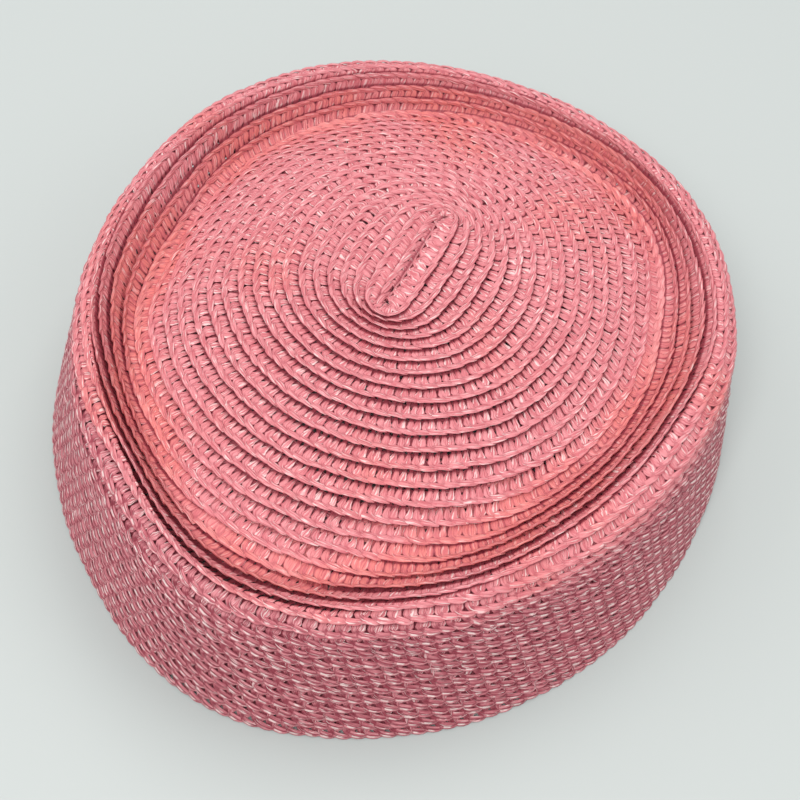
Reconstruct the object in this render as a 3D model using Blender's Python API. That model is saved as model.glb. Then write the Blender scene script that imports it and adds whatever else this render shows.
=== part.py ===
"""Pillbox hat of one flat straw braid, sewn to itself in a spiral.

The braid starts in the middle of the top, runs clockwise and outwards over the domed crown, down into
the crease, up the inner wall, over the rim and down the flaring side wall to the edge that the hat
stands on. Each turn lies on top of the next one, so the outside steps down a little at every turn.

Units are metres, +Z is up, and the front of the hat faces -Y. Bearings are degrees clockwise from the
back, seen from above: 0 the back, 90 the right (+X), 180 the front, 270 the left. A row number counts
turns of the braid from the start, so the edge of turn k is at row k + bearing / 360.
"""
import math

import bmesh
import bpy
import numpy as np

MM = 0.001

# The side of the hat in twelve sections, one every 30 degrees from the back, clockwise seen from above.
# Radii are from the middle of the edge and heights from its plane, in millimetres.
SECTION_COLUMNS = (
    "crease_row", "crease_radius", "crease_height",
    "crest_row", "crest_radius", "crest_height",
    "shoulder_row", "shoulder_radius", "shoulder_height",
    "edge_row", "edge_radius",
)
SECTIONS = (
    (16.2, 75.5, 32.0, 20.5, 82.5, 42.0, 21.9, 88.5, 38.5, 35.4, 97.5),
    (15.7, 75.0, 32.0, 20.3, 81.5, 42.5, 22.0, 88.5, 38.5, 35.3, 94.0),
    (16.1, 64.5, 32.5, 20.3, 77.0, 43.0, 21.8, 83.0, 39.0, 35.2, 89.0),
    (15.7, 57.5, 33.5, 20.6, 69.5, 43.5, 21.8, 76.5, 39.5, 35.2, 85.0),
    (15.9, 56.5, 34.0, 20.4, 69.0, 42.5, 22.2, 76.0, 38.0, 35.3, 87.0),
    (18.2, 65.0, 34.5, 21.6, 77.5, 41.0, 24.0, 83.0, 35.0, 35.4, 92.5),
    (20.7, 76.0, 34.0, 23.1, 85.0, 40.5, 25.2, 91.5, 34.0, 35.5, 97.5),
    (19.0, 69.5, 33.5, 22.7, 77.5, 41.5, 24.9, 85.5, 36.0, 35.6, 91.5),
    (17.6, 66.0, 33.0, 21.2, 75.5, 43.5, 23.4, 80.5, 39.0, 35.7, 88.5),
    (17.4, 64.0, 32.0, 20.8, 75.5, 45.0, 22.4, 80.0, 41.0, 35.8, 88.0),
    (17.0, 69.5, 31.5, 20.6, 78.5, 44.5, 22.0, 85.0, 41.0, 35.8, 90.5),
    (16.6, 74.0, 31.5, 20.6, 82.0, 43.0, 22.0, 88.0, 39.5, 35.6, 94.5),
)
LENGTH_COLUMNS = [name for name in SECTION_COLUMNS if not name.endswith("row")]

# The crown's middle: a straight start, around which the turns grow rounder
START_X = -4.3 * MM
START_Y = 11.0 * MM
START_HEIGHT = 46.1 * MM
START_HALF_LENGTH = 14.9 * MM
STRAIGHT_FADE = 4.0             # turns over which the straight part fades
TURN_SPACING = 4.71 * MM
TURN_CROWDING = 2.39 * MM       # how far the crown's middle turns are pulled in, towards the start
CROWDED_TURNS = 16.0
CROWN_OVALNESS = 0.985
CROWN_FALL_POWER = 2.5
CREASE_BLEND_POWER = 2.2
CORNER_ROUNDING = 0.7           # turns on each side over which crease, crest and shoulder are rounded

# The straw: two layers of braid, with a step down at the edge of each turn
WALL = 2.6 * MM
TURN_DROP = 0.9 * MM
TURN_DROP_RUN = 0.15            # turns over which the step falls
FIRST_TURN = 1
LAST_TURN = 34
START_EDGE_ROW = 0.75

# How finely the solid is divided
POINTS_PER_TURN = 56
UNDERSIDE_ROUNDING = 1.2
# Places from the middle to the edge: 0 middle, 1 crease, 2 crest, 3 shoulder, 4 edge
UNDERSIDE_PLACES = (0.06, 0.3, 0.5, 0.68, 0.84, 0.95, 1.08, 1.4, 1.75, 2.0, 2.35, 2.7, 3.05, 3.35, 3.7, 4.0)

STRAW_COLOUR = (0.62, 0.19, 0.17, 1.0)
STRAW_ROUGHNESS = 0.55


def around(values, bearing):
    """A smooth closed curve through evenly spaced values, read at any bearing."""
    values = np.asarray(values, float)
    count = len(values)
    place = np.mod(bearing / 360.0, 1.0) * count
    first = np.floor(place).astype(int)
    t = place - first
    before, here, after, beyond = (values[(first + step) % count] for step in (-1, 0, 1, 2))
    bend = 2 * before - 5 * here + 4 * after - beyond
    twist = 3 * (here - after) + beyond - before
    return here + 0.5 * t * (after - before + t * (bend + t * twist))


def section_at(bearing):
    """The section's named values at any bearing, with lengths in metres."""
    section = {}
    for name, column in zip(SECTION_COLUMNS, np.array(SECTIONS).T):
        section[name] = around(column, bearing) * (MM if name in LENGTH_COLUMNS else 1.0)
    return section


def crown_turn(row, bearing):
    """Plan position of the inner turns: a straight start that grows into a round."""
    angle = np.radians(bearing)
    crowding = TURN_CROWDING * np.sin(np.pi * row / CROWDED_TURNS)
    half_width = TURN_SPACING * row - crowding
    straight = START_HALF_LENGTH * np.exp((1 - row) / STRAIGHT_FADE)
    end = np.tanh(2.5 * np.cos(angle)) / np.tanh(2.5)
    x = START_X + half_width * np.sin(angle)
    y = START_Y + CROWN_OVALNESS * half_width * np.cos(angle) + straight * end
    return x, y


def sharp_point(row, bearing):
    """The outside of the hat before its corners are rounded."""
    section = section_at(bearing)
    sine, cosine = np.sin(np.radians(bearing)), np.cos(np.radians(bearing))

    # the crown, drawn out to meet the crease
    crease_row = section["crease_row"]
    part = np.clip(row / crease_row, 0.0, 1.0)
    inner_x, inner_y = crown_turn(np.minimum(row, crease_row), bearing)
    reach_x, reach_y = crown_turn(crease_row, bearing)
    pull = part ** CREASE_BLEND_POWER
    crown_x = inner_x + (section["crease_radius"] * sine - reach_x) * pull
    crown_y = inner_y + (section["crease_radius"] * cosine - reach_y) * pull
    crown_z = START_HEIGHT - (START_HEIGHT - section["crease_height"]) * part ** CROWN_FALL_POWER

    # from the crease over the crest and the shoulder to the edge
    stops = ("crease", "crest", "shoulder", "edge")
    radius, height = section["crease_radius"], section["crease_height"]
    for stop, following in zip(stops, stops[1:]):
        start, end = section[stop + "_row"], section[following + "_row"]
        limit = np.inf if following == "edge" else 1.0
        part = np.clip((row - start) / (end - start), 0.0, limit)
        radius = radius + (section[following + "_radius"] - section[stop + "_radius"]) * part
        end_height = 0.0 if following == "edge" else section[following + "_height"]
        height = height + (end_height - section[stop + "_height"]) * part

    beyond = row > crease_row
    x = np.where(beyond, radius * sine, crown_x)
    y = np.where(beyond, radius * cosine, crown_y)
    z = np.where(beyond, height, crown_z)
    return np.stack([x, y, z], -1)


def hat_point(row, bearing, rounding=CORNER_ROUNDING, samples=5):
    """A point on the outside of the hat, with crease, crest and shoulder rounded."""
    row, bearing = np.broadcast_arrays(np.asarray(row, float), np.asarray(bearing, float))
    reach = np.minimum(rounding, row / 2)
    total = 0.0
    for sample in range(samples):
        total = total + sharp_point(row + reach * ((2 * sample + 1) / samples - 1), bearing)
    return total / samples


def hat_normal(row, bearing, rounding):
    """The direction that points straight out of the straw."""
    along = hat_point(row, bearing + 0.5, rounding) - hat_point(row, bearing - 0.5, rounding)
    down = hat_point(row + 0.05, bearing, rounding) - hat_point(row - 0.05, bearing, rounding)
    normal = np.cross(along, down)
    return normal / np.linalg.norm(normal, axis=-1, keepdims=True)


def straw_point(row, bearing, depth, rounding=CORNER_ROUNDING):
    """A point at a depth under the outside of the hat."""
    return hat_point(row, bearing, rounding) - depth * hat_normal(row, bearing, rounding)


def row_at_place(place, bearing):
    """The row number at a place from 0, the middle, over crease, crest and shoulder to 4, the edge."""
    section = section_at(bearing)
    stops = [0.0, section["crease_row"], section["crest_row"], section["shoulder_row"], section["edge_row"]]
    first = min(int(place), 3)
    return stops[first] + (stops[first + 1] - stops[first]) * (place - first)


def add_points(mesh, points):
    return [mesh.verts.new(point) for point in points]


def join_rings(mesh, inner, outer, closed=True):
    """Faces between two rows of points that run the same way, clockwise seen from above."""
    count = len(inner)
    for step in range(count if closed else count - 1):
        following = (step + 1) % count
        mesh.faces.new((inner[step], outer[step], outer[following], inner[following]))


def add_start(mesh, bearings):
    """The braid's straight start, which lies on top of the first turn."""
    top = add_points(mesh, straw_point(START_EDGE_ROW, bearings, 0.0))
    foot = add_points(mesh, straw_point(START_EDGE_ROW + TURN_DROP_RUN, bearings, TURN_DROP))
    mesh.faces.new(top)
    join_rings(mesh, top, foot)
    return foot


def add_turns(mesh, start):
    """The spiral: each turn slopes up to its edge, then drops to the turn beneath it."""
    turns = np.arange(POINTS_PER_TURN * (LAST_TURN - FIRST_TURN + 1) + 1) / POINTS_PER_TURN
    row, bearing = FIRST_TURN + turns, 360.0 * turns
    edge = add_points(mesh, straw_point(row, bearing, 0.0))
    foot = add_points(mesh, straw_point(row + TURN_DROP_RUN, bearing, TURN_DROP))
    count = POINTS_PER_TURN
    join_rings(mesh, start + start[:1], edge[:count + 1], closed=False)
    mesh.faces.new((start[0], edge[count], foot[0], edge[0]))
    join_rings(mesh, edge, foot, closed=False)
    join_rings(mesh, foot[:-count], edge[count:], closed=False)
    return edge[-1], foot[-count - 1:]


def add_underside(mesh, bearings):
    """The inside of the hat, smooth, down to the inner side of the edge."""
    rings = []
    for place in UNDERSIDE_PLACES:
        row = row_at_place(place, bearings)
        points = straw_point(row, bearings, WALL, UNDERSIDE_ROUNDING)
        if place == UNDERSIDE_PLACES[-1]:
            points[:, 2] = 0.0
        rings.append(add_points(mesh, points))
    mesh.faces.new(rings[0])
    for inner, outer in zip(rings, rings[1:]):
        join_rings(mesh, inner, outer)
    return rings[-1]


def build_straw():
    """The whole hat as one closed shell, standing on its flat edge."""
    mesh = bmesh.new()
    bearings = 360.0 * np.arange(POINTS_PER_TURN) / POINTS_PER_TURN
    start = add_start(mesh, bearings)
    braid_end, last_turn = add_turns(mesh, start)

    edge_points = hat_point(section_at(bearings)["edge_row"], bearings)
    edge_points[:, 2] = 0.0
    edge = add_points(mesh, edge_points)
    join_rings(mesh, last_turn, edge + edge[:1], closed=False)
    mesh.faces.new((last_turn[-1], braid_end, last_turn[0], edge[0]))
    join_rings(mesh, edge, add_underside(mesh, bearings))

    bmesh.ops.recalc_face_normals(mesh, faces=mesh.faces)
    bmesh.ops.triangulate(mesh, faces=mesh.faces)
    xs, ys = ([vertex.co[axis] for vertex in edge] for axis in (0, 1))
    middle = ((min(xs) + max(xs)) / 2, (min(ys) + max(ys)) / 2, 0.0)
    bmesh.ops.translate(mesh, vec=[-value for value in middle], verts=mesh.verts)
    return mesh


def straw_material():
    material = bpy.data.materials.new("straw")
    material.use_nodes = True
    shader = material.node_tree.nodes["Principled BSDF"]
    shader.inputs["Base Color"].default_value = STRAW_COLOUR
    shader.inputs["Roughness"].default_value = STRAW_ROUGHNESS
    shader.inputs["Metallic"].default_value = 0.0
    return material


def add_straw_hat():
    """The one piece of the hat."""
    mesh = build_straw()
    data = bpy.data.meshes.new("straw_hat")
    mesh.to_mesh(data)
    mesh.free()
    data.materials.append(straw_material())
    data.shade_smooth()
    data.set_sharp_from_angle(angle=math.radians(35))
    bpy.context.scene.collection.objects.link(bpy.data.objects.new("straw_hat", data))


def main():
    for item in list(bpy.data.objects):
        bpy.data.objects.remove(item)
    add_straw_hat()


main()
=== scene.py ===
"""The looks of a pillbox hat of sewn straw braid: one braid of three straws, laid in a spiral.

The straws are modelled flat, as one repeat of the braid, repeated along its whole length and then laid
over the hat: from the middle of the top, clockwise and outwards over the crown, down into the crease,
up the inner wall, over the rim and down the side wall. Each turn lies on the next one.

Lengths are metres. Bearings are degrees clockwise from the back, seen from above: 0 the back, 90 the
right (+X), 180 the front, 270 the left. The edge of turn k is at row k + bearing / 360.
"""
import math

import bmesh
import bpy
import numpy as np
from mathutils import Matrix, Vector


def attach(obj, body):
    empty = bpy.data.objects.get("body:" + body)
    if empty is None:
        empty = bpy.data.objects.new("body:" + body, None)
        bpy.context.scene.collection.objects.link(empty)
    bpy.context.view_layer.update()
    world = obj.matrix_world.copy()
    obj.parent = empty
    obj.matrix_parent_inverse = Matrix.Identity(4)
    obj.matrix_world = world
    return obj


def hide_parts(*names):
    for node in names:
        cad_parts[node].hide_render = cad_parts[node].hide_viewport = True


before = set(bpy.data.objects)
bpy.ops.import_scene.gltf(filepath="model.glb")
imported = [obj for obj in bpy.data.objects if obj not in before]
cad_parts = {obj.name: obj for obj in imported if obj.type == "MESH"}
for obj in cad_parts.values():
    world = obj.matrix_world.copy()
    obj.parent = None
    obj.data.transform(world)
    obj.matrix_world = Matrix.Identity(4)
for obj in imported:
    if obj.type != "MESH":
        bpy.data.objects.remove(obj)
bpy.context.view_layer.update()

MM = 0.001

# The hat's side in twelve sections, one every 30 degrees of bearing; lengths in millimetres
SECTION_COLUMNS = (
    "crease_row", "crease_radius", "crease_height",
    "crest_row", "crest_radius", "crest_height",
    "shoulder_row", "shoulder_radius", "shoulder_height",
    "edge_row", "edge_radius",
)
SECTIONS = (
    (16.2, 75.5, 32.0, 20.5, 82.5, 42.0, 21.9, 88.5, 38.5, 35.4, 97.5),
    (15.7, 75.0, 32.0, 20.3, 81.5, 42.5, 22.0, 88.5, 38.5, 35.3, 94.0),
    (16.1, 64.5, 32.5, 20.3, 77.0, 43.0, 21.8, 83.0, 39.0, 35.2, 89.0),
    (15.7, 57.5, 33.5, 20.6, 69.5, 43.5, 21.8, 76.5, 39.5, 35.2, 85.0),
    (15.9, 56.5, 34.0, 20.4, 69.0, 42.5, 22.2, 76.0, 38.0, 35.3, 87.0),
    (18.2, 65.0, 34.5, 21.6, 77.5, 41.0, 24.0, 83.0, 35.0, 35.4, 92.5),
    (20.7, 76.0, 34.0, 23.1, 85.0, 40.5, 25.2, 91.5, 34.0, 35.5, 97.5),
    (19.0, 69.5, 33.5, 22.7, 77.5, 41.5, 24.9, 85.5, 36.0, 35.6, 91.5),
    (17.6, 66.0, 33.0, 21.2, 75.5, 43.5, 23.4, 80.5, 39.0, 35.7, 88.5),
    (17.4, 64.0, 32.0, 20.8, 75.5, 45.0, 22.4, 80.0, 41.0, 35.8, 88.0),
    (17.0, 69.5, 31.5, 20.6, 78.5, 44.5, 22.0, 85.0, 41.0, 35.8, 90.5),
    (16.6, 74.0, 31.5, 20.6, 82.0, 43.0, 22.0, 88.0, 39.5, 35.6, 94.5),
)
LENGTH_COLUMNS = [name for name in SECTION_COLUMNS if not name.endswith("row")]

# The crown's middle: a straight start, around which the turns grow rounder
START_X = -4.3 * MM
START_Y = 11.0 * MM
START_HEIGHT = 46.1 * MM
START_HALF_LENGTH = 14.9 * MM
STRAIGHT_FADE = 4.0
TURN_SPACING = 4.71 * MM
TURN_CROWDING = 2.39 * MM
CROWDED_TURNS = 16.0
CROWN_OVALNESS = 0.985
START_END_SHARPNESS = 2.5         # how abruptly the straight start turns at its ends
CROWN_FALL_POWER = 2.5
CREASE_BLEND_POWER = 2.2
CORNER_ROUNDING = 0.7
ROUNDING_SAMPLES = 5
MIDDLE_X = -1.5 * MM              # the middle of the edge, which is the frame's origin
SLOPE_BEARING = 0.5               # steps over which a slope is measured, in degrees and in rows
SLOPE_ROW = 0.05

# The flat braid: three straws, each running from edge to edge and back in one repeat
BRAID_WIDTH = 6.2 * MM            # on the first turns, where it has to fit the bends
BRAID_DEPTH = 1.1 * MM
WALL_DEPTH = 1.8 * MM             # how deep a turn goes under the next on the side wall
TRENCH_DEPTH = 0.7 * MM           # and on the inner wall
WALL_TURNS = (22.5, 25.5)         # the side wall's look starts in these turns
STRAWS = 3
STRAW_REPEAT = 10.8 * MM
STRAW_SIDES = 5
# One repeat of a straw, in millimetres: along the braid, in from the outer edge, height over the middle
# of the braid, half the straw's width, half its thickness. The last column is 1 on a leg outwards and -1
# on a leg inwards.
STRAW_PATH = (
    (0.60, 0.30, -0.14, 0.52, 0.18, 0.3),     # float along the outer edge, over the last one's end
    (1.40, 0.42, 0.12, 0.66, 0.24, 0.0),
    (2.50, 0.60, 0.24, 0.78, 0.26, 0.0),
    (3.60, 0.76, 0.14, 0.80, 0.24, 0.0),
    (4.55, 0.98, -0.04, 0.76, 0.20, -0.1),
    (5.15, 1.40, -0.06, 0.84, 0.17, -0.5),
    (5.40, 2.05, 0.04, 1.12, 0.17, -1.0),     # leg inwards
    (5.28, 2.90, 0.05, 0.82, 0.17, -1.0),
    (5.06, 4.10, 0.00, 0.50, 0.17, -1.0),
    (5.10, 4.90, -0.10, 0.80, 0.17, -0.8),
    (5.40, 6.30, -0.16, 0.96, 0.17, -0.6),
    (6.10, 7.60, -0.20, 0.76, 0.17, -0.2),
    (7.40, 8.20, -0.14, 0.70, 0.17, 0.0),     # float along the inner edge
    (8.80, 8.20, 0.04, 0.72, 0.17, 0.0),
    (9.90, 7.60, 0.10, 0.78, 0.17, 0.2),
    (10.34, 6.30, 0.04, 0.96, 0.17, 0.6),     # leg outwards
    (10.38, 4.90, -0.06, 0.80, 0.17, 0.8),
    (10.46, 4.10, 0.00, 0.50, 0.17, 1.0),
    (10.80, 2.90, 0.03, 0.82, 0.17, 1.0),
    (11.06, 2.05, 0.00, 1.12, 0.17, 1.0),
    (11.28, 1.30, -0.16, 0.80, 0.17, 0.6),
)
NARROW_FROM = 2.6 * MM            # between these, in from the outer edge, the straws are narrow
NARROW_TO = 5.4 * MM
WIDER_TURNS = (1.6, 2.0, 4.5)     # but wider on the first turns, so that few gaps show through
WIDER_SHARES = (1.0, 0.4, 0.0)
INNER_WALL_SHARE = 0.5            # and wider on the inner wall
INNER_WALL_WIDENING = 0.4         # rows before the crease in which they widen
INNER_WALL_LAST = 22.7            # the turn after which they are narrow again
HIGHLIGHT_MARK = 3.05 * MM             # places along the repeat where a float gets a painted highlight or painted shade
HIGHLIGHT_MARK_REACH = 0.6 * MM
# where a float goes under the next: painted shade
SHADE_MARK = 4.85 * MM
SHADE_MARK_REACH = 0.4 * MM
CROWN_MARK_SHARE = 0.5            # how strong the painted highlight and shade marks are on the crown, against the side wall
MERGE_DISTANCE = 0.01 * MM

# How the braid lies on the hat
FIRST_ROW = 0.62
LAST_ROW = 36.15
FLAT_ROWS = (9.0, 11.0)           # the braid lies flat up to the first, and bends fully from the second
TURN_STEP = 1 / 720
LINE_STEP = 1.0 * MM
ACROSS_STEP = 0.8 * MM
ACROSS_COUNT = 13
STEPS_OUTSIDE = 0.5               # the places across the braid start this many steps outside its edge
LAST_ENTRY_MARGIN = 1.001         # keeps what is read from a table before its last entry
TURN_DISTANCE = 4.4 * MM          # between two turns on the crown
LEAST_ROW_WIDTH = 1.5 * MM
SMALLEST_SHOWING = 1.3 * MM       # least width of a turn that shows beside the turn on top of it
TURNS_BACK = (1.35, 0.6)          # the turn on top is looked for this many turns back
# The start: how many millimetres of the braid show at a turn. Its second stretch lies on top of all.
START_SHOWING = ((0.62, 1.6), (0.70, 2.3), (0.92, 2.3), (1.06, 14.0), (1.16, 40.0), (1.38, 40.0),
                 (1.50, 9.0), (1.60, 4.3))
# The braid's covered part is drawn together on the first turns, which leaves it about 6 mm wide there
DRAWN_TURNS = (2.4, 4.2)
DRAWN_FROM = 4.0 * MM
DRAWN_SHARE = 0.35
HIDDEN_SINKING = 0.55             # how deep the braid sinks under a second turn, against the first
DEEPEST_TURNS = 2.2
RECESS_WALL_SCALE = 0.45          # on the side wall the painted shade beside a covering turn is wider
TRENCH_LEAD = 2.0                 # the crease's look starts this many rows before it
TRENCH_RISE = 2.4                 # grows over this many
CREST_FADE = 0.9                  # and fades over this many, and ends as far before the crest
INNER_WALL_RISE = 0.6
BEND_ROOM = 0.85                  # how much of a bend's radius the braid may fill
BEND_WINDOW = 9

# How unevenly the straws and the braid lie: metres between the knots of a smooth random line, size, seed
STRAW_AHEAD = (2.2 * MM, 0.13 * MM, 10)
STRAW_ASIDE = (2.6 * MM, 0.12 * MM, 20)
STRAW_HEIGHT = (2.4 * MM, 0.07 * MM, 30)
STRAW_SIZE = (1.7 * MM, 0.08, 40)
BRAID_ASIDE = (9 * MM, 0.10 * MM, 50)
BRAID_HEIGHT = (13 * MM, 0.08 * MM, 51)
LONGEST_WALK = 20.0               # metres of line; a straw is longer, and lies evenly from turn 28 on
STRAW_APART = 40                  # metres between the straws in the noise of their colour

# The braid's pieces: name, first row, last row
BRAID_PIECES = (
    ("crown_middle_braid", FIRST_ROW, 12.5),
    ("crown_edge_braid", 12.5, 18.0),
    ("inner_wall_braid", 18.0, 22.5),
    ("rim_braid", 22.5, 27.0),
    ("upper_wall_braid", 27.0, 31.5),
    ("lower_wall_braid", 31.5, LAST_ROW),
)

# Camera: the photograph's angle to the hat
CAMERA_AZIMUTH = 19.97
CAMERA_ELEVATION = 53.81
CAMERA_ROLL = 8.67
CAMERA_DISTANCE = 402.4 * MM
CAMERA_AIM = (1.5 * MM, 0.0, 24.25 * MM)
CAMERA_LENS = 72.0
CAMERA_SENSOR = 36.0
CAMERA_SHIFT = (-0.00365, -0.0639)
CAMERA_CLIP_START = 0.01

# Lights: name, azimuth, elevation, distance, size, power
LIGHTS = (
    ("back_light", 190, 66, 1.2, 0.7, 4.2),
    ("front_light", 5, 58, 1.2, 0.5, 7.8),
    ("right_light", 110, 40, 1.4, 0.8, 1.2),
    ("left_light", 285, 45, 1.4, 0.8, 2.0),
)
WORLD_COLOUR = (0.95, 0.97, 1.0, 1.0)
WORLD_STRENGTH = 0.54
FLOOR_COLOUR = (0.55, 0.58, 0.56, 1.0)
FLOOR_ROUGHNESS = 0.9
FLOOR_HALF_SIZE = 2.5
FLOOR_HEIGHT = -0.6 * MM          # the lowest straws reach a little below the frame's zero

# Colours of the straw, and of the light and shade painted on it
ROSE = (0.83, 0.30, 0.32, 1.0)
CORAL = (0.84, 0.225, 0.20, 1.0)
DEEP_ROSE = (0.62, 0.13, 0.155, 1.0)
PALE_CORAL = (0.97, 0.42, 0.38, 1.0)
# mauve: painted shade on the side wall
WALL_SHADE_MAUVE = (0.56, 0.20, 0.25, 1.0)
# dark maroon: painted shade in gaps, folds and recesses, and the side wall's darker fibres
SHADE_AND_FIBRE_DARK = (0.30, 0.03, 0.055, 1.0)
# pale: the colour of painted highlights
PALE_GLINT = (0.98, 0.78, 0.74, 1.0)

# Its noises: patches per metre of the hat, the others per metre along the straw
PATCH_SCALE = 28.0
TONE_SCALE = 180.0
THREAD_SCALE = 220.0
FOLD_SCALE = 420.0
TONE_ACROSS = 0.2
THREADS_ACROSS = 2.4
MORE_THREADS_ON_WALL = 2.6
FOLDS_ACROSS = 1.2
THREAD_RELIEF = 0.4 * MM


def around(values, bearing):
    """A smooth closed curve through evenly spaced values, read at any bearing."""
    values = np.asarray(values, float)
    count = len(values)
    place = np.mod(bearing / 360.0, 1.0) * count
    first = np.floor(place).astype(int) % count
    t = place - np.floor(place)
    before, here, after, beyond = (values[(first + step) % count] for step in (-1, 0, 1, 2))
    bend = 2 * before - 5 * here + 4 * after - beyond
    twist = 3 * (here - after) + beyond - before
    return here + 0.5 * t * (after - before + t * (bend + t * twist))


def section_at(bearing):
    """The section's named values at any bearing, with lengths in metres."""
    section = {}
    for name, column in zip(SECTION_COLUMNS, np.array(SECTIONS).T):
        section[name] = around(column, bearing) * (MM if name in LENGTH_COLUMNS else 1.0)
    return section


def crown_turn(row, bearing):
    """Plan position of the inner turns: a straight start that grows into a round."""
    angle = np.radians(bearing)
    crowding = TURN_CROWDING * np.sin(np.pi * row / CROWDED_TURNS)
    half_width = TURN_SPACING * row - crowding
    straight = START_HALF_LENGTH * np.exp((1 - np.abs(row)) / STRAIGHT_FADE)
    end = np.tanh(START_END_SHARPNESS * np.cos(angle)) / np.tanh(START_END_SHARPNESS)
    x = START_X + half_width * np.sin(angle)
    y = START_Y + CROWN_OVALNESS * half_width * np.cos(angle) + straight * end
    return x, y


def sharp_point(row, bearing):
    """The outside of the hat before its corners are rounded."""
    section = section_at(bearing)
    sine, cosine = np.sin(np.radians(bearing)), np.cos(np.radians(bearing))

    # the crown, drawn out to meet the crease
    crease_row = section["crease_row"]
    part = np.clip(row / crease_row, 0.0, 1.0)
    inner_x, inner_y = crown_turn(np.minimum(row, crease_row), bearing)
    reach_x, reach_y = crown_turn(crease_row, bearing)
    pull = part ** CREASE_BLEND_POWER
    crown_x = inner_x + (section["crease_radius"] * sine - reach_x) * pull
    crown_y = inner_y + (section["crease_radius"] * cosine - reach_y) * pull
    crown_z = START_HEIGHT - (START_HEIGHT - section["crease_height"]) * part ** CROWN_FALL_POWER

    # from the crease over the crest and the shoulder to the edge
    stops = ("crease", "crest", "shoulder", "edge")
    radius, height = section["crease_radius"], section["crease_height"]
    for stop, following in zip(stops, stops[1:]):
        start, end = section[stop + "_row"], section[following + "_row"]
        limit = np.inf if following == "edge" else 1.0
        part = np.clip((row - start) / (end - start), 0.0, limit)
        radius = radius + (section[following + "_radius"] - section[stop + "_radius"]) * part
        end_height = 0.0 if following == "edge" else section[following + "_height"]
        height = height + (end_height - section[stop + "_height"]) * part

    beyond = row > crease_row
    x = np.where(beyond, radius * sine, crown_x) - MIDDLE_X
    y = np.where(beyond, radius * cosine, crown_y)
    z = np.where(beyond, height, crown_z)
    return np.stack([x, y, z], -1)


def hat_point(row, bearing):
    """A point on the outside of the hat, with crease, crest and shoulder rounded."""
    row, bearing = np.broadcast_arrays(np.asarray(row, float), np.asarray(bearing, float))
    reach = np.minimum(CORNER_ROUNDING, np.abs(row) / 2)
    total = 0.0
    for sample in range(ROUNDING_SAMPLES):
        total = total + sharp_point(row + reach * ((2 * sample + 1) / ROUNDING_SAMPLES - 1), bearing)
    return total / ROUNDING_SAMPLES


def unit(vectors):
    return vectors / np.linalg.norm(vectors, axis=-1, keepdims=True)


def row_slope(row, bearing):
    """How far the outside of the hat goes over two small steps of row."""
    return hat_point(row + SLOPE_ROW, bearing) - hat_point(row - SLOPE_ROW, bearing)


def hat_normal(row, bearing):
    """The direction that points straight out of the straw."""
    along = hat_point(row, bearing + SLOPE_BEARING) - hat_point(row, bearing - SLOPE_BEARING)
    return unit(np.cross(along, row_slope(row, bearing)))


def line_row(turn):
    """The row of the braid's outer edge: past the hat's edge it slides up behind the last turn."""
    edge_rows = np.array(SECTIONS)[:, SECTION_COLUMNS.index("edge_row")]
    return np.minimum(turn, around(edge_rows, 360 * turn))


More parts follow.
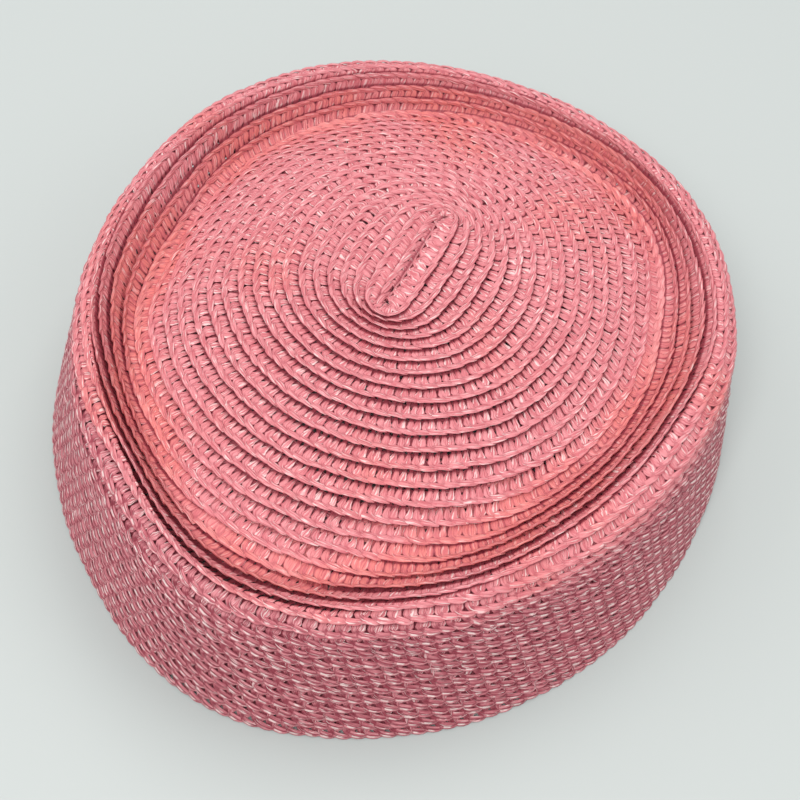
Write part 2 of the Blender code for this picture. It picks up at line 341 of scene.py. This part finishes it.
class BraidBed:
    """Where the braid lies: a table of places along its outer edge and across it."""

    def __init__(self):
        turns = np.arange(FIRST_ROW, LAST_ROW, TURN_STEP)
        points = hat_point(line_row(turns), 360 * turns)
        walked = np.concatenate([[0.0], np.cumsum(np.linalg.norm(np.diff(points, axis=0), axis=1))])
        self.length = walked[-1]
        self.count = int(self.length / LINE_STEP)
        self.turn = np.interp(np.arange(self.count) * LINE_STEP, walked, turns)
        self.lay_line()
        self.lay_across()

    def lay_line(self):
        """The outer edge, its direction along, inwards and out of the hat."""
        row, bearing = line_row(self.turn), 360 * self.turn
        self.line = hat_point(row, bearing)
        self.out = hat_normal(row, bearing)
        ahead = unit(np.gradient(self.line, axis=0))
        self.inward = unit(np.cross(ahead, self.out))

    def showing(self):
        """How wide each place of the braid shows beside the turn that lies on it."""
        row, bearing = line_row(self.turn), 360 * self.turn
        width = np.linalg.norm(self.line - hat_point(self.turn - 1, bearing), axis=1)
        for place in np.flatnonzero(self.turn < FLAT_ROWS[1]):
            low, high = np.searchsorted(self.turn, [self.turn[place] - back for back in TURNS_BACK])
            if high > low:
                width[place] = np.linalg.norm(self.line[low:high] - self.line[place], axis=1).min()
        start_turns, start_widths = np.array(START_SHOWING).T
        start = self.turn < start_turns[-1]
        width[start] = np.interp(self.turn[start], start_turns, start_widths) * MM
        return np.maximum(width, SMALLEST_SHOWING)

    def narrow(self):
        """How much narrower the braid gets where it bends too tightly for its width."""
        ahead = unit(np.gradient(self.line, axis=0))
        bend = np.sum(np.gradient(ahead, axis=0) * self.inward, axis=1) / LINE_STEP
        window = np.hanning(BEND_WINDOW)
        bend = np.convolve(bend, window / window.sum(), mode="same")
        return 1 / np.maximum(1, bend * BRAID_WIDTH / BEND_ROOM)

    def lay_across(self):
        """The places across the braid, and what the looks depend on there."""
        row, bearing = line_row(self.turn), 360 * self.turn
        showing = self.showing()
        flatness = np.clip((FLAT_ROWS[1] - self.turn) / (FLAT_ROWS[1] - FLAT_ROWS[0]), 0, 1)[:, None]
        # past the hat's edge the braid slides up behind the last turn
        hidden = np.clip(1 - (row - (self.turn - 1)), 0, 1)
        self.narrowing = np.where(self.turn < FLAT_ROWS[0], self.narrow(), 1.0)
        section = section_at(bearing)
        wall = np.interp(self.turn, WALL_TURNS, (0.0, 1.0))
        trench = np.clip((row - section["crease_row"] + TRENCH_LEAD) / TRENCH_RISE, 0, 1)
        trench = trench * np.clip((section["crest_row"] - CREST_FADE - row) / CREST_FADE, 0, 1)
        step_depth = BRAID_DEPTH + (WALL_DEPTH - BRAID_DEPTH) * wall
        step_depth = step_depth + (TRENCH_DEPTH - BRAID_DEPTH) * trench
        recess_scale = 1 + (RECESS_WALL_SCALE - 1) * wall + trench
        inner_wall = np.clip((row - section["crease_row"]) / INNER_WALL_RISE, 0, 1)
        region = trench * (1 + inner_wall) - wall
        self.places, self.normals, self.looks = [], [], []
        walk_row = row + STEPS_OUTSIDE * ACROSS_STEP / TURN_DISTANCE
        for step in range(ACROSS_COUNT):
            across = (step - STEPS_OUTSIDE) * ACROSS_STEP
            flat = self.line + across * self.inward
            bent = hat_point(walk_row, bearing)
            covered = hidden + (1 - flatness[:, 0]) * (row - walk_row)
            covered = covered + flatness[:, 0] * across / showing
            open_width = (1 - covered) * showing * recess_scale
            self.looks.append(np.stack([open_width, region, wall], 1))
            covered = np.minimum(covered, DEEPEST_TURNS)
            layers = np.minimum(covered, 1) + HIDDEN_SINKING * np.maximum(covered - 1, 0)
            depth = 0.5 * BRAID_DEPTH + step_depth * layers
            normal = unit(flatness * self.out + (1 - flatness) * hat_normal(walk_row, bearing))
            place = flatness * flat + (1 - flatness) * bent
            self.places.append(place - depth[:, None] * normal)
            self.normals.append(normal)
            row_width = np.linalg.norm(row_slope(walk_row, bearing), axis=1) / (2 * SLOPE_ROW)
            walk_row = walk_row - ACROSS_STEP / np.maximum(row_width, LEAST_ROW_WIDTH)
        self.places = np.stack(self.places, 1)
        self.normals = np.stack(self.normals, 1)
        self.looks = np.stack(self.looks, 1)

    def read(self, table, along, across):
        """Reads a table between its entries."""
        i = np.clip(along / LINE_STEP, 0, self.count - LAST_ENTRY_MARGIN)
        j = np.clip(across / ACROSS_STEP + STEPS_OUTSIDE, 0, ACROSS_COUNT - LAST_ENTRY_MARGIN)
        first, second = i.astype(int), j.astype(int)
        a, b = (i - first)[:, None], (j - second)[:, None]
        low = table[first, second] * (1 - a) + table[first + 1, second] * a
        high = table[first, second + 1] * (1 - a) + table[first + 1, second + 1] * a
        return low * (1 - b) + high * b

    def lay(self, along, across, height):
        """Moves points of the flat braid onto the hat."""
        entries = np.arange(self.count)
        narrowing = np.interp(along / LINE_STEP, entries, self.narrowing)
        turns = np.interp(along / LINE_STEP, entries, self.turn)
        share = np.interp(turns, DRAWN_TURNS, (DRAWN_SHARE, 1.0))
        across = np.minimum(across, DRAWN_FROM) + np.maximum(across - DRAWN_FROM, 0) * share
        place = self.read(self.places, along, across * narrowing)
        normal = unit(self.read(self.normals, along, across * narrowing))
        looks = self.read(self.looks, along, across * narrowing)
        return place + height[:, None] * normal, looks

    def along_at(self, turn):
        return np.interp(turn, self.turn, np.arange(self.count) * LINE_STEP)

    def turn_at(self, along):
        return np.interp(along, np.arange(self.count) * LINE_STEP, self.turn)


def straw_repeat():
    """One repeat of one straw, flat: a tube through the path, with its place kept on each point.

    The middle attribute is the nearest point of the path. The fibre attribute is the way along the
    straw, the place across it from -1 to 1, and the path's last column.
    """
    mesh = bmesh.new()
    middle = mesh.verts.layers.float_vector.new("middle")
    fibre = mesh.verts.layers.float_vector.new("fibre")
    mesh.verts.layers.float_vector.new("looks")
    path = [Vector((along * MM, across * MM, height * MM)) for along, across, height, *_ in STRAW_PATH]
    widths = [half_width * MM for *_, half_width, _, _ in STRAW_PATH]
    thicknesses = [half_thickness * MM for *_, half_thickness, _ in STRAW_PATH]
    legs = [leg for *_, leg in STRAW_PATH] + [STRAW_PATH[0][-1]]
    path.append(path[0] + Vector((STRAW_REPEAT, 0, 0)))
    widths.append(widths[0])
    thicknesses.append(thicknesses[0])
    before = [path[-2] - Vector((STRAW_REPEAT, 0, 0))] + path[:-1]
    after = path[1:] + [path[1] + Vector((STRAW_REPEAT, 0, 0))]
    walked = 0.0
    rings = []
    for place, point in enumerate(path):
        walked += (point - path[place - 1]).length if place else 0.0
        ahead = (after[place] - before[place]).normalized()
        side = Vector((-ahead.y, ahead.x, 0.0)).normalized()
        up = ahead.cross(side)
        axes = Matrix((side * widths[place], up * thicknesses[place], ahead)).transposed().to_4x4()
        axes.translation = point
        ring = bmesh.ops.create_circle(mesh, segments=STRAW_SIDES, radius=1.0, matrix=axes)["verts"]
        for vertex in ring:
            vertex[middle] = point
            offset = vertex.co - point
            vertex[fibre] = (walked, offset.dot(side) / widths[place], legs[place])
        rings.append(ring)
    for ring, following in zip(rings, rings[1:]):
        edges = [edge for vertex in ring + following for edge in vertex.link_edges]
        kept = {edge for edge in edges if edge.is_wire or len(edge.link_faces) == 1}
        wanted = [edge for edge in kept if (edge.verts[0] in ring) == (edge.verts[1] in ring)]
        bmesh.ops.bridge_loops(mesh, edges=wanted)
    for face in mesh.faces:
        face.smooth = True
    # the straw is a folded strip: its shading is smooth along it and breaks at its folds
    ring_of = {vertex: number for number, ring in enumerate(rings) for vertex in ring}
    for edge in mesh.edges:
        edge.smooth = ring_of[edge.verts[0]] == ring_of[edge.verts[1]]
    data = bpy.data.meshes.new("straw_repeat")
    mesh.to_mesh(data)
    mesh.free()
    return data, walked


def wander(places, unevenness, straw=0):
    """A smooth random line, read at places given in metres."""
    spacing, size, seed = unevenness
    knots = np.random.default_rng(seed + straw).normal(0, size, int(LONGEST_WALK / spacing) + 4)
    place = np.clip(places / spacing, 0, len(knots) - 2)
    first = place.astype(int)
    t = place - first
    t = t * t * (3 - 2 * t)
    return knots[first] * (1 - t) + knots[first + 1] * t


def flat_straws(cell, start, end):
    """The braid's three straws from start to end along the braid, still flat."""
    item = bpy.data.objects.new("flat_straws", cell)
    bpy.context.scene.collection.objects.link(item)
    repeats = int(round((end - start) / STRAW_REPEAT))
    for count, offset, merged in ((STRAWS, STRAW_REPEAT / STRAWS, False), (repeats, STRAW_REPEAT, True)):
        array = item.modifiers.new("array", "ARRAY")
        array.count = count
        array.use_relative_offset = False
        array.use_constant_offset = True
        array.constant_offset_displace = (offset, 0, 0)
        array.use_merge_vertices = merged
        array.merge_threshold = MERGE_DISTANCE
    bpy.context.view_layer.update()
    evaluated = item.evaluated_get(bpy.context.evaluated_depsgraph_get())
    data = bpy.data.meshes.new_from_object(evaluated)
    bpy.data.objects.remove(item)
    return data


def read_vectors(data, name):
    values = np.zeros(len(data.vertices) * 3, np.float32)
    if name == "co":
        data.vertices.foreach_get("co", values)
    else:
        data.attributes[name].data.foreach_get("vector", values)
    return values.reshape(-1, 3).astype(float)


def lay_piece(name, bed, cell, repeat_walk, start, end):
    """One piece of the braid, laid on the hat, its straws closed at both ends."""
    data = flat_straws(cell, start, end)
    points, middles, fibres = (read_vectors(data, key) for key in ("co", "middle", "fibre"))
    number = np.round((points[:, 0] - middles[:, 0]) / (STRAW_REPEAT / STRAWS)).astype(int)
    # the straw's own offset from its middle line holds the rest of the place along the braid
    offset = points - middles
    offset[:, 0] -= number * STRAW_REPEAT / STRAWS
    straw, repeat = number % STRAWS, number // STRAWS
    shift = start + number * STRAW_REPEAT / STRAWS
    walked = fibres[:, 0] + repeat * repeat_walk + start / STRAW_REPEAT * repeat_walk

    # each float's mark: 1 a painted highlight, -1 painted shade
    mark = 1.0 * (np.abs(middles[:, 0] - HIGHLIGHT_MARK) < HIGHLIGHT_MARK_REACH)
    mark -= 1.0 * (np.abs(middles[:, 0] - SHADE_MARK) < SHADE_MARK_REACH)
    for index in range(STRAWS):
        mine = straw == index
        here = walked[mine]
        middles[mine, 0] += wander(here, STRAW_AHEAD, index)
        middles[mine, 1] += wander(here, STRAW_ASIDE, index)
        middles[mine, 2] += wander(here, STRAW_HEIGHT, index)
        offset[mine] *= 1 + wander(here, STRAW_SIZE, index)[:, None]
    narrow = (middles[:, 1] > NARROW_FROM) & (middles[:, 1] < NARROW_TO)
    turns = bed.turn_at((middles[:, 0] + shift)[narrow])
    past_crease = (turns - section_at(360 * turns)["crease_row"]) / INNER_WALL_WIDENING
    inner_wall = np.clip(past_crease + 1, 0, 1) * (turns < INNER_WALL_LAST)
    wider = np.maximum(INNER_WALL_SHARE * inner_wall, np.interp(turns, WIDER_TURNS, WIDER_SHARES))
    offset[narrow, :2] *= 1 + wider[:, None]
    flat = middles + offset
    along = flat[:, 0] + shift
    across = flat[:, 1] + wander(along, BRAID_ASIDE)
    height = flat[:, 2] + wander(along, BRAID_HEIGHT)
    placed, looks = bed.lay(along, across, height)
    looks[:, 2] = mark * (CROWN_MARK_SHARE + (1 - CROWN_MARK_SHARE) * looks[:, 2])
    data.vertices.foreach_set("co", placed.astype(np.float32).ravel())
    fibres[:, 0] = walked + STRAW_APART * straw
    data.attributes["fibre"].data.foreach_set("vector", fibres.astype(np.float32).ravel())
    data.attributes["looks"].data.foreach_set("vector", looks.astype(np.float32).ravel())
    data.attributes.remove(data.attributes["middle"])

    mesh = bmesh.new()
    mesh.from_mesh(data)
    bmesh.ops.holes_fill(mesh, edges=[edge for edge in mesh.edges if edge.is_boundary], sides=0)
    bmesh.ops.recalc_face_normals(mesh, faces=mesh.faces)
    bmesh.ops.triangulate(mesh, faces=[face for face in mesh.faces if len(face.verts) > 4])
    mesh.to_mesh(data)
    mesh.free()
    piece = bpy.data.objects.new(name, data)
    bpy.context.scene.collection.objects.link(piece)
    return piece


class Wire:
    """A socket of a shader, so that its maths reads as plain expressions."""

    def __init__(self, tree, socket):
        self.tree, self.socket = tree, socket

    def maths(self, operation, *values):
        return node(self.tree, "ShaderNodeMath", {"operation": operation}, dict(enumerate(values)))

    def __add__(self, other):
        return self.maths("ADD", self, other)

    def __sub__(self, other):
        return self.maths("SUBTRACT", self, other)

    def __mul__(self, other):
        return self.maths("MULTIPLY", self, other)

    def __rsub__(self, other):
        return self.maths("SUBTRACT", other, self)

    __radd__ = __add__
    __rmul__ = __mul__

    def __abs__(self):
        return self.maths("ABSOLUTE", self)

    def between(self, low, high):
        """A smooth step from 0 at low to 1 at high, which may be the lower of the two."""
        settings = {"interpolation_type": "SMOOTHSTEP"}
        values = {0: self, 1: low, 2: high, 3: 0.0, 4: 1.0}
        return node(self.tree, "ShaderNodeMapRange", settings, values)


def node(tree, kind, settings, values, output=0):
    """Adds a node: settings first, then the values or links of its sockets."""
    made = tree.nodes.new(kind)
    for key, value in settings.items():
        setattr(made, key, value)
    for key, value in values.items():
        socket = made.inputs[key]
        if isinstance(value, Wire):
            tree.links.new(value.socket, socket)
        else:
            socket.default_value = value
    return Wire(tree, made.outputs[output])


def blend(tree, factor, low, high):
    """Mixes two colours."""
    return node(tree, "ShaderNodeMix", {"data_type": "RGBA"}, {0: factor, 6: low, 7: high}, output=2)


def noise(tree, vector, scale=1.0, detail=1.0):
    values = {"Vector": vector, "Scale": scale, "Detail": detail}
    return node(tree, "ShaderNodeTexNoise", {}, values)


def attribute_parts(tree, name):
    """The three numbers of a vector attribute."""
    vector = node(tree, "ShaderNodeAttribute", {"attribute_name": name}, {}, output="Vector")
    parts = tree.nodes.new("ShaderNodeSeparateXYZ")
    tree.links.new(vector.socket, parts.inputs[0])
    return [Wire(tree, socket) for socket in parts.outputs]


def straw_material():
    """Dyed paper straw: rose with coral patches and darker fibres, with painted highlights and painted
    shade.

    The looks attribute holds how wide the braid still shows beside the turn on it, which sets the painted
    shade there, the part of the hat (-1 the side wall, 0 the crown and the rim, 1 the crease, 2 the inner
    wall) and a float's painted mark (1 a painted highlight, -1 painted shade).
    """
    material = bpy.data.materials.new("dyed_straw")
    material.use_nodes = True
    tree = material.node_tree
    shader = tree.nodes["Principled BSDF"]
    walked, across, leg = attribute_parts(tree, "fibre")
    open_width, region, mark = attribute_parts(tree, "looks")
    place = node(tree, "ShaderNodeTexCoord", {}, {}, output="Object")

    def along_fibre(along_scale, across_scale):
        values = {0: walked * along_scale, 1: across * across_scale}
        return node(tree, "ShaderNodeCombineXYZ", {}, values)

    # where on the hat
    wall = (0 - region).between(0.2, 1.0)
    trench = region.between(0.0, 1.0)
    inner_wall = region.between(1.0, 1.7)
    calm = 1.0 - region.between(0.65, 1.0) * (1.0 - inner_wall) * 0.65

    # noises
    patches = noise(tree, place, PATCH_SCALE, 3.0) + trench * 0.22 - wall * 0.22
    tone = noise(tree, along_fibre(TONE_SCALE, TONE_ACROSS))
    threads = noise(tree, along_fibre(THREAD_SCALE, THREADS_ACROSS + wall * MORE_THREADS_ON_WALL))
    folds = noise(tree, along_fibre(FOLD_SCALE, FOLDS_ACROSS))

    # where on the straw, and where light and shade are painted
    on_leg = abs(leg)
    on_float = 1.0 - on_leg
    # painted shade along each straw's sides
    side = abs(across).between(0.66 - inner_wall * 0.25, 0.98)
    # painted shade along the fold of the side wall's floats
    fold_shade = abs(across + (tone - 0.5) * 0.8).between(0.38, 0.12) * wall * on_float
    # painted highlights, more of them on the legs outwards
    glint = (threads + leg * 0.04).between(0.57, 0.66) * (folds + leg * 0.08).between(0.42, 0.58)
    highlight_dash = mark.between(0.35, 0.95) * across.between(-0.75, -0.45) * across.between(0.05, -0.25)
    # painted shade where the braid goes under the turn on top
    recess_shade = open_width.between(0.8 * MM, 0.1 * MM)
    recess_shade = recess_shade * (1.0 - region.between(0.1, 0.6) * (1.0 - inner_wall) * 0.7)

    # how strongly each colour covers the ones before it
    side_shade_strength = 0.40 + on_leg * (0.30 + inner_wall * 0.12) + wall * 0.25
    glint_strength = 0.66 + wall * 0.2 - inner_wall * 0.36
    coats = (
        (patches.between(0.48, 0.80), CORAL),                   # large patches, more of them by the crease
        (tone.between(0.3, 0.8) * 0.45, DEEP_ROSE),             # darker stretches of straw
        (threads.between(0.54, 0.36) * 0.8, DEEP_ROSE),         # dark fibres
        (wall * 0.3, WALL_SHADE_MAUVE),                                    # painted shade: the side wall darker and cooler, as it lies in shade
        (threads.between(0.52, 0.42) * wall * 0.45, SHADE_AND_FIBRE_DARK),    # and its darker fibres
        (fold_shade * 0.85, SHADE_AND_FIBRE_DARK),                                  # painted shade along the fold in the middle of its floats
        (on_float * (1.0 - calm) * 0.35, PALE_CORAL),           # paler floats in the crease
        (side * side_shade_strength * calm, SHADE_AND_FIBRE_DARK),                  # painted shade along the straws' sides, between neighbours
        (mark.between(-0.2, -1.0) * 0.8, SHADE_AND_FIBRE_DARK),               # painted shade where each float goes under the next
        (glint * calm * glint_strength, PALE_GLINT),            # painted highlights: pale specks where the straw would shine
        (highlight_dash * folds.between(0.38, 0.56) * 0.85, PALE_GLINT),  # painted highlight: a pale dash where each float bends
        (recess_shade * (0.8 + wall * 0.15), SHADE_AND_FIBRE_DARK),                 # painted shade beside the turn on top
    )
    colour = ROSE
    for strength, coat in coats:
        colour = blend(tree, strength, colour, coat)
    tree.links.new(colour.socket, shader.inputs["Base Color"])
    roughness = 0.55 - glint * 0.22
    tree.links.new(roughness.socket, shader.inputs["Roughness"])
    relief = {"Strength": 1.0, "Distance": THREAD_RELIEF, "Height": threads}
    bump = node(tree, "ShaderNodeBump", {}, relief)
    tree.links.new(bump.socket, shader.inputs["Normal"])
    return material


def plain_material(name, colour, roughness):
    material = bpy.data.materials.new(name)
    material.use_nodes = True
    shader = material.node_tree.nodes["Principled BSDF"]
    shader.inputs["Base Color"].default_value = colour
    shader.inputs["Roughness"].default_value = roughness
    return material


def add_braid():
    """The whole braid, in pieces that follow each other along it."""
    bed = BraidBed()
    cell, repeat_walk = straw_repeat()
    material = straw_material()
    starts = [round(bed.along_at(first) / STRAW_REPEAT) * STRAW_REPEAT for _, first, _ in BRAID_PIECES]
    ends = starts[1:] + [STRAW_REPEAT * math.floor(bed.length / STRAW_REPEAT - 1)]
    for (name, _, _), start, end in zip(BRAID_PIECES, starts, ends):
        piece = lay_piece(name, bed, cell, repeat_walk, start, end)
        piece.data.materials.append(material)
        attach(piece, "root")
        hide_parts("straw_hat")
        print(name, "triangles", sum(len(face.vertices) - 2 for face in piece.data.polygons))


def add_floor():
    mesh = bmesh.new()
    bmesh.ops.create_grid(mesh, x_segments=1, y_segments=1, size=FLOOR_HALF_SIZE)
    data = bpy.data.meshes.new("floor")
    mesh.to_mesh(data)
    mesh.free()
    data.materials.append(plain_material("pale_floor", FLOOR_COLOUR, FLOOR_ROUGHNESS))
    floor = bpy.data.objects.new("floor", data)
    floor.location = (0, 0, FLOOR_HEIGHT)
    bpy.context.scene.collection.objects.link(floor)


def direction(azimuth, elevation):
    """From the hat towards an azimuth and an elevation: azimuth 0 is the front, 90 the right."""
    a, e = math.radians(azimuth), math.radians(elevation)
    return Vector((math.sin(a) * math.cos(e), -math.cos(a) * math.cos(e), math.sin(e)))


def add_light(name, azimuth, elevation, distance, size, power):
    """A square soft light that faces the hat."""
    light = bpy.data.lights.new(name, "AREA")
    light.size = size
    light.energy = power
    lamp = bpy.data.objects.new(name, light)
    toward = direction(azimuth, elevation)
    lamp.location = toward * distance
    lamp.rotation_euler = toward.to_track_quat("Z", "Y").to_euler()
    bpy.context.scene.collection.objects.link(lamp)


def add_lights():
    world = bpy.data.worlds.new("studio")
    bpy.context.scene.world = world
    world.use_nodes = True
    background = world.node_tree.nodes["Background"]
    background.inputs["Color"].default_value = WORLD_COLOUR
    background.inputs["Strength"].default_value = WORLD_STRENGTH
    for light in LIGHTS:
        add_light(*light)


def add_camera():
    """A camera at the photograph's angle, turned a little about its own axis."""
    azimuth, roll = math.radians(CAMERA_AZIMUTH), math.radians(CAMERA_ROLL)
    back = direction(CAMERA_AZIMUTH, CAMERA_ELEVATION)
    right = Vector((math.cos(azimuth), math.sin(azimuth), 0.0))
    up = back.cross(right)
    camera_right = math.cos(roll) * right + math.sin(roll) * up
    camera_up = math.cos(roll) * up - math.sin(roll) * right
    data = bpy.data.cameras.new("camera")
    data.sensor_width = CAMERA_SENSOR
    data.lens = CAMERA_LENS
    data.shift_x, data.shift_y = CAMERA_SHIFT
    data.clip_start = CAMERA_CLIP_START
    camera = bpy.data.objects.new("camera", data)
    turn = Matrix((camera_right, camera_up, back)).transposed().to_4x4()
    camera.matrix_world = Matrix.Translation(Vector(CAMERA_AIM) + back * CAMERA_DISTANCE) @ turn
    bpy.context.scene.collection.objects.link(camera)
    bpy.context.scene.camera = camera


def main():
    bpy.context.scene.view_settings.view_transform = "Standard"
    add_camera()
    add_braid()
    add_floor()
    add_lights()
    bpy.context.view_layer.update()


main()
